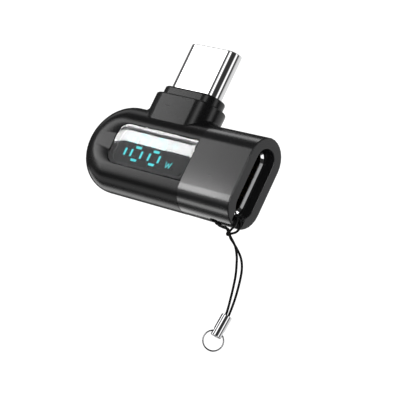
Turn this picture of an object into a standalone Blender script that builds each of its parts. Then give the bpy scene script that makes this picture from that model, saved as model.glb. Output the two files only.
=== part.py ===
"""USB power meter: a right-angle USB-C plug-through meter with a segment display.

Frame: +Z is the way the plug goes in, +X runs along the body to the socket end, and -Y is the
display side.  The origin is where the plug shell leaves its collar, on the plug's axis.
Sizes below are in millimetres and are multiplied by MM where a mesh or a curve is made.
"""

import math

import bmesh
import bpy
from mathutils import Matrix, Vector

MM = 0.001
CLEAR = 0.05  # gap left between pieces that touch
PLAY = 0.10  # gap round the larger mouldings
WELD = 1e-7

# Body: a bar with full-round long edges, a half-disc left end and a flat right end.
BODY_LEFT = -13.0
BODY_RIGHT = 15.6
BODY_DEPTH = 6.0
BODY_HEIGHT = 12.0
BODY_TOP = -3.53
BODY_Z = BODY_TOP - BODY_HEIGHT / 2
WALL = 0.9
SEAM_X = 6.80
FRONT = -BODY_DEPTH / 2

# Neck and collar: two stadium tiers under the plug.
NECK_WIDTH = 10.9
NECK_DEPTH = 5.4
NECK_TOP = -1.25
NECK_FOOT = -5.2
COLLAR_WIDTH = 9.3
COLLAR_DEPTH = 3.52
COLLAR_FOOT = -2.6

# USB-C plug.
PLUG_WIDTH = 8.25
PLUG_DEPTH = 2.40
PLUG_WALL = 0.16
PLUG_TIP = 6.65
PLUG_TAIL = -2.4
PLUG_MOUTH = (7.2, 1.44)
PLUG_MOUTH_FLOOR = 0.9
PLUG_REAR = (6.4, 1.04)
PLUG_REAR_END = 0.1
PLUG_FACE = PLUG_TIP - 0.25
LATCH_X = (3.38, 3.54)
LATCH_Z = (1.0, 5.2)
LATCH_HALF = 0.45
EARTH_HALF = (3.2, 0.07)
EARTH_Z = (-2.2, 0.0)

# Contacts of both connectors, stamped as combs.
CONTACT_PITCH = 0.5
CONTACT_COUNT = 12
CONTACT_WIDE = 0.22
CONTACT_THICK = 0.10
COMB_STRIP = 0.30
PLUG_CONTACT_Y = 0.56
PLUG_CONTACT_Z = (1.0, 5.6)

# USB-C socket, its long axis along Z.
SOCKET_LONG = 8.94
SOCKET_SHORT = 3.16
SOCKET_WALL = 0.30
SOCKET_RIM = BODY_RIGHT - 1.45
SOCKET_BACK = SOCKET_RIM - 6.6
TONGUE_LONG = 6.69
TONGUE_THICK = 0.70
TONGUE_FOOT = SOCKET_BACK + 1.5
TONGUE_TIP = SOCKET_RIM - 0.6
MID_PLATE_HALF = 0.07
MID_SLIT_HALF = 0.12

# Opening in the end face, and the strap's tunnel and slot under it.
OPENING_LONG = 9.36
OPENING_SHORT = 3.40
TUNNEL_TOP = BODY_Z - SOCKET_LONG / 2 + 0.6
TUNNEL_FLOOR = -14.72
TUNNEL_HALF = 1.15
BAR_SLOPE = 0.3
SLOT_LEFT = 11.9
SLOT_RIGHT = 13.3
SLOT_HALF = 0.85

# Display window and what stands behind it.
WINDOW_LEFT = -7.1
WINDOW_HEIGHT = 5.76
WINDOW_RADIUS = 1.6
LENS_THICK = 0.5
LEDGE = 0.45
LEDGE_Y = FRONT + 0.62
BOARD_THICK = 0.6
BOARD_HALF = 4.3
BOARD_RADIUS = 3.9
BOARD_TAB = 3.1

# Digits: column of each figure's centre, and the sizes of one figure.
DIGIT_CENTRES = (-2.30, 0.92)
ONE_COLUMN = -4.30
DIGIT_HALF = 0.90
BAR_LONG = 1.05
BAR_WIDE = 0.36
ROW_TOP = BODY_Z + 1.77
ROW_MIDDLE = BODY_Z - 0.03
ROW_BOTTOM = BODY_Z - 1.82
ROW_UPPER = BODY_Z + 0.93
ROW_LOWER = BODY_Z - 0.92
ICONS = ((3.43, BODY_Z + 1.25), (3.73, BODY_Z - 1.32))
ICON_SIZE = 1.05

# Strap: where its hitch leaves the bar, its knot, and its crimp and ring.
CORD = 0.30
KNOT_RADIUS = 0.36
HITCH_LANE = 0.30
TUNNEL_CORD_Z = -14.35
CRIMP_TOP = (4.05, 9.31)
CRIMP_BOTTOM = (3.83, 12.17)
CRIMP_RADIUS = 0.60
CRIMP_WALL = 0.15
RING_HOLE_UP = 0.68
RING_HOLE = 0.30
RING_RADIUS = 1.26
RING_WIRE = 0.20
RING_STEPS = 32
VIEW_TURN = math.radians(42.5)
KNOT = Vector((15.13, 0.0, -16.50))
STRAP_RIGHT = Vector((math.cos(VIEW_TURN), math.sin(VIEW_TURN), 0.0))
STRAP_DOWN = Vector((0.0, 0.0, -1.0))
STRAP_NORMAL = Vector((math.sin(VIEW_TURN), -math.cos(VIEW_TURN), 0.0))


def clear_scene():
    """Take every object of the open file out."""
    for old in list(bpy.data.objects):
        bpy.data.objects.remove(old, do_unlink=True)


def new_collection(name, is_helper=False):
    """A collection in the scene; helpers are kept out of the render."""
    made = bpy.data.collections.new(name)
    made.hide_render = is_helper
    bpy.context.scene.collection.children.link(made)
    return made


clear_scene()
PARTS = new_collection("usb_power_meter")
CUTTERS = new_collection("cutters", is_helper=True)


def material(name, colour, roughness, metallic=0.0):
    """A Principled material of one colour."""
    made = bpy.data.materials.new(name)
    made.use_nodes = True
    shader = made.node_tree.nodes["Principled BSDF"]
    shader.inputs["Base Color"].default_value = (*colour, 1.0)
    shader.inputs["Roughness"].default_value = roughness
    shader.inputs["Metallic"].default_value = metallic
    return made


HOUSING_BLACK = material("housing_black", (0.045, 0.045, 0.047), 0.55)
SLEEVE_BLACK = material("sleeve_black", (0.040, 0.040, 0.042), 0.38)
LENS_SMOKE = material("lens_smoke", (0.01, 0.01, 0.012), 0.05)
MASK_BLACK = material("mask_black", (0.01, 0.01, 0.01), 0.7)
DIFFUSER_MILK = material("diffuser_milk", (0.25, 0.95, 0.95), 0.5)
WELL_WHITE = material("well_white", (0.85, 0.85, 0.83), 0.6)
BOARD_GREEN = material("board_green", (0.02, 0.12, 0.05), 0.45)
CHIP_BLACK = material("chip_black", (0.03, 0.03, 0.03), 0.5)
CERAMIC_TAN = material("ceramic_tan", (0.55, 0.42, 0.28), 0.4)
SHUNT_METAL = material("shunt_metal", (0.55, 0.50, 0.42), 0.4, 1.0)
LED_WHITE = material("led_white", (0.9, 0.9, 0.85), 0.4)
SHELL_STEEL = material("shell_steel", (0.80, 0.80, 0.80), 0.12, 1.0)
CONTACT_GOLD = material("contact_gold", (0.85, 0.62, 0.25), 0.25, 1.0)
INSULATOR_BLACK = material("insulator_black", (0.03, 0.03, 0.03), 0.5)
ADHESIVE_GREY = material("adhesive_grey", (0.2, 0.2, 0.2), 0.8)
CORD_BLACK = material("cord_black", (0.02, 0.02, 0.02), 0.8)
CRIMP_CHROME = material("crimp_chrome", (0.82, 0.82, 0.82), 0.1, 1.0)


def finish(obj, name, finish_material, is_cutter=False, is_round=True):
    """Name an object, give it its material and put it in its collection."""
    obj.name = name
    obj.data.name = name
    for owner in list(obj.users_collection):
        owner.objects.unlink(obj)
    (CUTTERS if is_cutter else PARTS).objects.link(obj)
    if is_cutter:
        obj.hide_render = True
        obj.display_type = "WIRE"
    elif finish_material:
        obj.data.materials.clear()
        obj.data.materials.append(finish_material)
    if is_round and obj.type == "MESH":
        obj.data.shade_smooth()
        obj.data.set_sharp_from_angle(angle=math.radians(35))
    return obj


def as_mesh(curve_obj):
    """The curve object as a closed mesh object in the same place."""
    bpy.context.view_layer.update()
    graph = bpy.context.evaluated_depsgraph_get()
    mesh = bpy.data.meshes.new_from_object(curve_obj.evaluated_get(graph))
    work = bmesh.new()
    work.from_mesh(mesh)
    bmesh.ops.remove_doubles(work, verts=work.verts, dist=WELD)
    bmesh.ops.transform(work, matrix=curve_obj.matrix_world, verts=work.verts)
    bmesh.ops.recalc_face_normals(work, faces=work.faces)
    work.to_mesh(mesh)
    work.free()
    made = bpy.data.objects.new(curve_obj.name, mesh)
    bpy.context.scene.collection.objects.link(made)
    bpy.data.objects.remove(curve_obj, do_unlink=True)
    return made


def plane_matrix(axis, at):
    """Turn a flat outline so that its thickness lies along the named axis, at this place on it."""
    columns = {
        "X": ((0, 1, 0), (0, 0, 1), (1, 0, 0)),
        "Y": ((1, 0, 0), (0, 0, 1), (0, -1, 0)),
        "Z": ((1, 0, 0), (0, 1, 0), (0, 0, 1)),
    }[axis]
    turn = Matrix(columns).transposed().to_4x4()
    place = {"X": (at, 0, 0), "Y": (0, at, 0), "Z": (0, 0, at)}[axis]
    return Matrix.Translation(Vector(place) * MM) @ turn


def plate(name, outlines, axis, low, high, look=None, is_cutter=False, round_edge=0.0, steps=2):
    """A flat outline, with any holes, extruded from low to high along an axis.

    The outlines are lists of points: (y, z) for X, (x, z) for Y and (x, y) for Z.
    round_edge rounds both faces' edges outwards from the outline.
    """
    curve = bpy.data.curves.new(name, "CURVE")
    curve.dimensions = "2D"
    curve.fill_mode = "BOTH"
    curve.extrude = ((high - low) / 2 - round_edge) * MM
    curve.bevel_depth = round_edge * MM
    curve.bevel_resolution = steps
    for outline in outlines:
        spline = curve.splines.new("POLY")
        spline.points.add(len(outline) - 1)
        for point, (first, second) in zip(spline.points, outline):
            point.co = (first * MM, second * MM, 0, 1)
        spline.use_cyclic_u = True
    obj = bpy.data.objects.new(name, curve)
    bpy.context.scene.collection.objects.link(obj)
    obj.matrix_world = plane_matrix(axis, (low + high) / 2)
    return finish(as_mesh(obj), name, look, is_cutter)


def arc(centre, radius, start, end, steps):
    """Points along an arc, the angles in degrees."""
    points = []
    for step in range(steps + 1):
        angle = math.radians(start + (end - start) * step / steps)
        points.append((centre[0] + radius * math.cos(angle), centre[1] + radius * math.sin(angle)))
    return points


def rounded(centre, width, height, radius, steps=5):
    """A rectangle with round corners; a radius of half its lesser side makes a stadium."""
    radius = min(radius, width / 2 - 1e-4, height / 2 - 1e-4)
    across = width / 2 - radius
    up = height / 2 - radius
    corners = ((1, 1, 0), (-1, 1, 90), (-1, -1, 180), (1, -1, 270))
    points = []
    for side_x, side_y, start in corners:
        middle = (centre[0] + side_x * across, centre[1] + side_y * up)
        points += arc(middle, radius, start, start + 90, steps)
    return points


def stadium(centre, width, height, steps=5):
    """A bar with half-round ends."""
    return rounded(centre, width, height, min(width, height) / 2, steps)


def rectangle(low, high):
    """A plain rectangle between two corners."""
    return [(low[0], low[1]), (high[0], low[1]), (high[0], high[1]), (low[0], high[1])]


def box(name, low, high, look=None, is_cutter=False):
    """A block between two corners."""
    work = bmesh.new()
    bmesh.ops.create_cube(work, size=1.0)
    size = [(b - a) * MM for a, b in zip(low, high)]
    middle = [(a + b) / 2 * MM for a, b in zip(low, high)]
    bmesh.ops.scale(work, vec=size, verts=work.verts)
    bmesh.ops.translate(work, vec=middle, verts=work.verts)
    mesh = bpy.data.meshes.new(name)
    work.to_mesh(mesh)
    work.free()
    obj = bpy.data.objects.new(name, mesh)
    bpy.context.scene.collection.objects.link(obj)
    return finish(obj, name, look, is_cutter, is_round=False)


def rod(name, start, end, radius, look=None, sides=20, is_cutter=False):
    """A round bar between two points."""
    start = Vector(start)
    along = Vector(end) - start
    work = bmesh.new()
    bmesh.ops.create_cone(
        work,
        cap_ends=True,
        segments=sides,
        radius1=radius * MM,
        radius2=radius * MM,
        depth=along.length * MM,
    )
    turn = along.to_track_quat("Z", "Y").to_matrix().to_4x4()
    bmesh.ops.transform(
        work,
        matrix=Matrix.Translation((start + along / 2) * MM) @ turn,
        verts=work.verts,
    )
    mesh = bpy.data.meshes.new(name)
    work.to_mesh(mesh)
    work.free()
    obj = bpy.data.objects.new(name, mesh)
    bpy.context.scene.collection.objects.link(obj)
    return finish(obj, name, look, is_cutter)


def boolean(obj, operation, *others):
    """Cut or join other objects, one modifier each."""
    for other in others:
        modifier = obj.modifiers.new(f"{operation.lower()}_{other.name}", "BOOLEAN")
        modifier.operation = operation
        modifier.object = other
        modifier.solver = "EXACT"
    return obj


def cut(obj, *others):
    """Take other objects away from this one."""
    return boolean(obj, "DIFFERENCE", *others)


def join(obj, *others):
    """Add other objects to this one."""
    return boolean(obj, "UNION", *others)


def smooth_route(points, spacing):
    """Points a spacing apart along the Catmull-Rom curve through the given points."""
    ends = [points[0] * 2 - points[1], *points, points[-1] * 2 - points[-2]]
    fine = []
    for before, start, end, after in zip(ends, ends[1:], ends[2:], ends[3:]):
        for step in range(24):
            t = step / 24
            fine.append(
                (
                    start * 2
                    + (end - before) * t
                    + (before * 2 - start * 5 + end * 4 - after) * t**2
                    + (start * 3 - before - end * 3 + after) * t**3
                )
                / 2
            )
    fine.append(points[-1])
    lengths = [0.0]
    for first, second in zip(fine, fine[1:]):
        lengths.append(lengths[-1] + (second - first).length)
    count = max(2, round(lengths[-1] / spacing))
    route = []
    for step in range(count + 1):
        target = lengths[-1] * step / count
        index = max(i for i, length in enumerate(lengths) if length <= target + 1e-9)
        if index >= len(fine) - 1:
            route.append(fine[-1])
            continue
        share = (target - lengths[index]) / (lengths[index + 1] - lengths[index])
        route.append(fine[index].lerp(fine[index + 1], share))
    return route


def wire(name, points, diameter, look, is_closed=False):
    """A round wire or cord along a route of points."""
    curve = bpy.data.curves.new(name, "CURVE")
    curve.dimensions = "3D"
    curve.bevel_depth = diameter / 2 * MM
    curve.bevel_resolution = 2
    curve.use_fill_caps = not is_closed
    spline = curve.splines.new("POLY")
    spline.points.add(len(points) - 1)
    for point, place in zip(spline.points, points):
        point.co = (*(place * MM), 1)
    spline.use_cyclic_u = is_closed
    obj = bpy.data.objects.new(name, curve)
    bpy.context.scene.collection.objects.link(obj)
    return finish(as_mesh(obj), name, look)


def body_bar(name, left, right, wall, is_cutter=False, look=None, steps=4):
    """The body's shape, each side drawn in by a wall: full-round edges and a half-disc left end."""
    edge = BODY_DEPTH / 2 - wall
    flat = (BODY_HEIGHT - BODY_DEPTH) / 2
    centre_x = BODY_LEFT + BODY_HEIGHT / 2
    outline = [(right + 4.0, BODY_Z - flat), (right + 4.0, BODY_Z + flat)]
    if left < centre_x:
        outline += arc((centre_x, BODY_Z), flat, 90, 270, 12)
    else:
        outline += [(left - 4.0, BODY_Z + flat), (left - 4.0, BODY_Z - flat)]
    bar = plate(name, [outline], "Y", -edge, edge, look, is_cutter, edge - 1e-4, steps)
    ends = [box(f"{name}_right_end", (right, -9, -20), (right + 12, 9, 4), None, True)]
    if left >= centre_x:
        ends.append(box(f"{name}_left_end", (left - 12, -9, -20), (left, 9, 4), None, True))
    return cut(bar, *ends)


def window_outline(inset, right):
    """The display window's outline drawn in by an inset: round left corners, square right end."""
    radius = WINDOW_RADIUS - inset
    left = WINDOW_LEFT + inset
    top = BODY_Z + WINDOW_HEIGHT / 2 - inset
    bottom = BODY_Z - WINDOW_HEIGHT / 2 + inset
    points = [(right, bottom), (right, top)]
    points += arc((left + radius, top - radius), radius, 90, 180, 6)
    points += arc((left + radius, bottom + radius), radius, 180, 270, 6)
    return points


def segments():
    """(name, centre x, centre z, width, height) of each bar of the figures, and the two icons."""
    found = []
    for name, row in (("upper", ROW_UPPER), ("lower", ROW_LOWER)):
        found.append((f"one_{name}", ONE_COLUMN, row, BAR_WIDE, BAR_LONG))
    for digit, centre in zip(("tens", "units"), DIGIT_CENTRES):
        for name, row in (("top", ROW_TOP), ("middle", ROW_MIDDLE), ("bottom", ROW_BOTTOM)):
            found.append((f"{digit}_{name}", centre, row, BAR_LONG, BAR_WIDE))
        for side, sign in (("left", -1), ("right", 1)):
            for name, row in (("upper", ROW_UPPER), ("lower", ROW_LOWER)):
                column = centre + sign * DIGIT_HALF
                found.append((f"{digit}_{side}_{name}", column, row, BAR_WIDE, BAR_LONG))
    for name, (column, row) in zip(("current", "watt"), ICONS):
        found.append((f"icon_{name}", column, row, ICON_SIZE, ICON_SIZE * 0.8))
    return found


def segment_outline(column, row, width, height, grow=0.0):
    """One bar's outline."""
    half_x = width / 2 + grow
    half_z = height / 2 + grow
    return rectangle((column - half_x, row - half_z), (column + half_x, row + half_z))


def display_housing():
    """The left shell: half-disc end, display window, and the neck that carries the plug."""
    shell = body_bar("display_housing", BODY_LEFT, SEAM_X - PLAY / 2, 0.0, look=HOUSING_BLACK)
    neck = plate(
        "neck_tier",
        [stadium((0, 0), NECK_WIDTH, NECK_DEPTH, 6)],
        "Z",
        NECK_FOOT,
        NECK_TOP,
        is_cutter=True,
    )
    hollow = body_bar("housing_hollow", BODY_LEFT, SEAM_X + 2, WALL, True)
    throat = plate(
        "neck_throat",
        [stadium((0, 0), COLLAR_WIDTH + 2 * CLEAR, COLLAR_DEPTH + 2 * CLEAR, 6)],
        "Z",
        NECK_FOOT - 1.0,
        NECK_TOP + 1,
        is_cutter=True,
    )
    pane = plate(
        "window_recess", [window_outline(0.0, SEAM_X + 2)], "Y", FRONT - 1, LEDGE_Y, is_cutter=True
    )
    opening = plate(
        "window_opening",
        [window_outline(LEDGE, SEAM_X + 2)],
        "Y",
        FRONT - 1,
        FRONT + WALL + 0.6,
        is_cutter=True,
    )
    join(shell, neck)
    cut(shell, hollow, throat, pane, opening)
    return shell


def socket_sleeve():
    """The right shell: carries the socket in its end wall, and the bar that the strap ties round."""
    sleeve = body_bar("socket_sleeve", SEAM_X + PLAY / 2, BODY_RIGHT, 0.0, look=SLEEVE_BLACK)
    hollow = body_bar("sleeve_hollow", SEAM_X - 2, SOCKET_BACK + 0.6, WALL, True)
    seat = plate(
        "socket_seat",
        [stadium((0, BODY_Z), OPENING_SHORT, OPENING_LONG, 6)],
        "X",
        SOCKET_BACK - 1,
        BODY_RIGHT + 1,
        is_cutter=True,
    )
    tunnel_profile = [
        (SLOT_LEFT, TUNNEL_FLOOR),
        (BODY_RIGHT - BAR_SLOPE, TUNNEL_FLOOR),
        (BODY_RIGHT + 1, TUNNEL_FLOOR - BAR_SLOPE - 1),
        (BODY_RIGHT + 1, TUNNEL_TOP),
        (SLOT_LEFT, TUNNEL_TOP),
    ]
    tunnel = plate(
        "strap_tunnel", [tunnel_profile], "Y", -TUNNEL_HALF, TUNNEL_HALF, is_cutter=True
    )
    slot = plate(
        "strap_slot",
        [rounded(((SLOT_LEFT + SLOT_RIGHT) / 2, 0), SLOT_RIGHT - SLOT_LEFT, 2 * SLOT_HALF, 0.3, 3)],
        "Z",
        BODY_TOP - BODY_HEIGHT - 1,
        TUNNEL_FLOOR + 0.3,
        is_cutter=True,
    )
    return cut(sleeve, hollow, seat, tunnel, slot)


def collar():
    """The collar that grips the plug shell, standing out of the neck."""
    outer = plate(
        "plug_collar",
        [stadium((0, 0), COLLAR_WIDTH, COLLAR_DEPTH, 6)],
        "Z",
        COLLAR_FOOT,
        0,
        HOUSING_BLACK,
    )
    bore = plate(
        "collar_bore",
        [stadium((0, 0), PLUG_WIDTH + 2 * CLEAR, PLUG_DEPTH + 2 * CLEAR, 8)],
        "Z",
        COLLAR_FOOT - 1,
        1,
        is_cutter=True,
    )
    return cut(outer, bore)


def stadium_tube(name, axis, centre, outer, wall, low, high, look, steps=8):
    """A drawn tube of stadium section, open at both ends."""
    inner = (outer[0] - 2 * wall, outer[1] - 2 * wall)
    rings = [stadium(centre, *outer, steps), stadium(centre, *inner, steps)]
    return plate(name, rings, axis, low, high, look)


def contact_comb(name, is_turned, depth, root, tip, centre=0.0):
    """Twelve contacts side by side on one carrier strip, as a stamped comb.

    The pins run from root to tip, side by side about centre: they point along Z, or along X if
    the comb is turned.
    """
    strip = COMB_STRIP * (1 if tip > root else -1)
    middle = (CONTACT_COUNT - 1) / 2
    lefts = [(index - middle) * CONTACT_PITCH - CONTACT_WIDE / 2 for index in range(CONTACT_COUNT)]
    outline = [(lefts[0], root)]
    for left in lefts:
        right = left + CONTACT_WIDE
        outline += [(left, root + strip), (left, tip), (right, tip), (right, root + strip)]
    outline.append((lefts[-1] + CONTACT_WIDE, root))
    if is_turned:
        outline = [(along, side + centre) for side, along in outline]
    else:
        outline = [(side + centre, along) for side, along in outline]
    return plate(name, [outline], "Y", *sorted(depth), CONTACT_GOLD)


def plug():
    """The plug: drawn shell, insulator with its mouth, two contact combs, latches, earth plate."""
    section = (PLUG_WIDTH, PLUG_DEPTH)
    stadium_tube("plug_shell", "Z", (0, 0), section, PLUG_WALL, PLUG_TAIL, PLUG_TIP, SHELL_STEEL, 10)
    room = 2 * (PLUG_WALL + CLEAR)
    insulator = plate(
        "plug_insulator",
        [stadium((0, 0), PLUG_WIDTH - room, PLUG_DEPTH - room, 6)],
        "Z",
        PLUG_TAIL,
        PLUG_FACE,
        INSULATOR_BLACK,
    )
    half_x, half_y = (size / 2 for size in PLUG_MOUTH)
    mouth = box(
        "plug_mouth", (-half_x, -half_y, PLUG_MOUTH_FLOOR), (half_x, half_y, PLUG_TIP + 1), None, True
    )
    half_x, half_y = (size / 2 for size in PLUG_REAR)
    rear = box(
        "plug_rear_slot", (-half_x, -half_y, PLUG_TAIL - 1), (half_x, half_y, PLUG_REAR_END), None, True
    )
    cut(insulator, mouth, rear)
    for name, side in (("front", -1), ("back", 1)):
        depth = (side * PLUG_CONTACT_Y, side * (PLUG_CONTACT_Y + CONTACT_THICK))
        contact_comb(f"plug_contacts_{name}", False, depth, *PLUG_CONTACT_Z)
    half_x, half_y = EARTH_HALF
    box("plug_earth_plate", (-half_x, -half_y, EARTH_Z[0]), (half_x, half_y, EARTH_Z[1]), SHUNT_METAL)
    for name, side in (("left", -1), ("right", 1)):
        first, second = sorted(side * place for place in LATCH_X)
        low = (first, -LATCH_HALF, LATCH_Z[0])
        high = (second, LATCH_HALF, LATCH_Z[1])
        box(f"plug_latch_{name}", low, high, SHELL_STEEL)


def socket():
    """The socket: drawn shell, moulded tongue with its base, mid plate, and two contact combs."""
    section = (SOCKET_SHORT, SOCKET_LONG)
    centre = (0, BODY_Z)
    stadium_tube("socket_shell", "X", centre, section, SOCKET_WALL, SOCKET_BACK, SOCKET_RIM, SHELL_STEEL)
    room = 2 * (SOCKET_WALL + CLEAR)
    tongue = plate(
        "socket_tongue",
        [stadium(centre, SOCKET_SHORT - room, SOCKET_LONG - room, 6)],
        "X",
        SOCKET_BACK,
        TONGUE_FOOT,
        INSULATOR_BLACK,
    )
    overlap = 0.4
    blade_middle = ((TONGUE_FOOT - overlap + TONGUE_TIP) / 2, BODY_Z)
    blade = plate(
        "tongue_blade",
        [rounded(blade_middle, TONGUE_TIP - TONGUE_FOOT + overlap, TONGUE_LONG, 0.3, 3)],
        "Y",
        -TONGUE_THICK / 2,
        TONGUE_THICK / 2,
        is_cutter=True,
    )
    half = TONGUE_LONG / 2
    slit = box(
        "mid_plate_slit",
        (TONGUE_FOOT + 0.2, -MID_SLIT_HALF, BODY_Z - half - 1),
        (TONGUE_TIP - 0.4, MID_SLIT_HALF, BODY_Z + half + 1),
        None,
        True,
    )
    join(tongue, blade)
    cut(tongue, slit)
    box(
        "socket_mid_plate",
        (TONGUE_FOOT + 0.25, -MID_PLATE_HALF, BODY_Z - half - 0.15),
        (TONGUE_TIP - 0.45, MID_PLATE_HALF, BODY_Z + half + 0.15),
        SHELL_STEEL,
    )
    surface = TONGUE_THICK / 2 + 0.02
    for name, side in (("front", -1), ("back", 1)):
        depth = (side * surface, side * (surface + CONTACT_THICK))
        contact_comb(
            f"socket_contacts_{name}", True, depth, TONGUE_FOOT + CLEAR, TONGUE_TIP - 0.7, BODY_Z
        )


def boards():
    """The main board, which reaches up the neck behind the plug, with its parts."""
    left = BODY_LEFT + WALL + 0.9
    right = SOCKET_BACK - 0.15
    top = BODY_Z + BOARD_HALF
    bottom = BODY_Z - BOARD_HALF
    tab_top = PLUG_TAIL - 0.2
    outline = [(right, bottom), (right, top)]
    outline += [(BOARD_TAB, top), (BOARD_TAB, tab_top), (-BOARD_TAB, tab_top), (-BOARD_TAB, top)]
    outline += arc((left + BOARD_RADIUS, top - BOARD_RADIUS), BOARD_RADIUS, 90, 180, 6)
    outline += arc((left + BOARD_RADIUS, bottom + BOARD_RADIUS), BOARD_RADIUS, 180, 270, 6)
    half = BOARD_THICK / 2
    plate("main_board", [outline], "Y", -half, half, BOARD_GREEN)
    back = half + CLEAR
    blocks = (
        ("meter_chip", (-1.6, 1.6), (-10.6, -7.4), 0.80, CHIP_BLACK),
        ("shunt_resistor", (3.0, 6.2), (-8.6, -7.0), 0.55, SHUNT_METAL),
        ("regulator_inductor", (-6.6, -4.2), (-11.4, -9.0), 1.00, CHIP_BLACK),
        ("regulator_chip", (-6.4, -5.0), (-7.9, -6.5), 0.60, CHIP_BLACK),
        ("input_capacitor", (3.2, 4.8), (-11.6, -10.8), 0.80, CERAMIC_TAN),
        ("output_capacitor", (3.2, 4.8), (-13.2, -12.4), 0.80, CERAMIC_TAN),
        ("timing_crystal", (-1.0, 1.0), (-13.0, -11.8), 0.60, SHELL_STEEL),
    )
    for name, (x_low, x_high), (z_low, z_high), height, look in blocks:
        box(name, (x_low, back, z_low), (x_high, back + height, z_high), look)


def display():
    """Lens, its adhesive frame, mask, diffuser, light wells and one LED behind each bar."""
    lens_right = SEAM_X - PLAY / 2
    plate(
        "display_lens", [window_outline(CLEAR, lens_right)], "Y", FRONT, FRONT + LENS_THICK, LENS_SMOKE
    )
    frame_low = FRONT + LENS_THICK + 0.02
    hole = window_outline(LEDGE + 0.1, lens_right - 0.6)
    plate(
        "lens_adhesive",
        [window_outline(CLEAR, lens_right), hole],
        "Y",
        frame_low,
        LEDGE_Y - 0.02,
        ADHESIVE_GREY,
    )
    bars = segments()
    low_x = WINDOW_LEFT + LEDGE + 0.25
    high_x = lens_right - 0.7
    reach = WINDOW_HEIGHT / 2 - LEDGE - 0.05
    field = rounded(
        ((low_x + high_x) / 2, BODY_Z), high_x - low_x, 2 * reach, WINDOW_RADIUS - LEDGE, 4
    )
    slots = [segment_outline(*bar[1:], 0.03) for bar in bars]
    mask_low = LEDGE_Y + 0.02
    plate("display_mask", [field, *slots], "Y", mask_low, mask_low + 0.28, MASK_BLACK)
    plate_low = mask_low + 0.31
    diffuser = plate("display_diffuser", [field], "Y", plate_low, plate_low + 0.25, DIFFUSER_MILK)
    for bar in bars:
        raised = plate(
            f"raised_{bar[0]}",
            [segment_outline(*bar[1:])],
            "Y",
            mask_low + 0.04,
            plate_low + 0.1,
            is_cutter=True,
        )
        join(diffuser, raised)
    well_low = plate_low + 0.28
    well_high = -BOARD_THICK / 2 - 0.05
    wells = [segment_outline(*bar[1:], 0.04) for bar in bars]
    plate("light_wells", [field, *wells], "Y", well_low, well_high, WELL_WHITE)
    for name, column, row, width, height in bars:
        half_x = min(width, 0.7) / 2 - 0.02
        half_z = min(height, 0.7) / 2 - 0.02
        box(
            f"led_{name}",
            (column - half_x, -BOARD_THICK / 2 - CLEAR - 0.35, row - half_z),
            (column + half_x, -BOARD_THICK / 2 - CLEAR, row + half_z),
            LED_WHITE,
        )


def strap_place(right, down, depth=0.0):
    """A point of the strap's plane, which passes through the knot; depth is towards the display side."""
    return KNOT + STRAP_RIGHT * right + STRAP_DOWN * down + STRAP_NORMAL * depth


def hitch_route(side, leg):
    """One cord of the hitch: from the knot up over the end face, through the tunnel and out of the slot."""
    lane = HITCH_LANE * side
    route = [Vector(place) for place in leg]
    route += [
        Vector((15.0, lane, TUNNEL_CORD_Z)),
        Vector((13.6, lane, TUNNEL_CORD_Z)),
        Vector((12.85, lane, TUNNEL_CORD_Z - 0.06)),
        Vector((12.50, lane, TUNNEL_CORD_Z - 0.40)),
        Vector((12.50, lane, TUNNEL_CORD_Z - 0.95)),
        Vector((12.80, lane, TUNNEL_CORD_Z - 1.38)),
        Vector((13.40, lane * 0.85, TUNNEL_CORD_Z - 1.60)),
        Vector((14.10, lane * 0.75, TUNNEL_CORD_Z - 1.80)),
        Vector((14.60, lane * 0.70, TUNNEL_CORD_Z - 1.95)),
    ]
    return route


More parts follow.
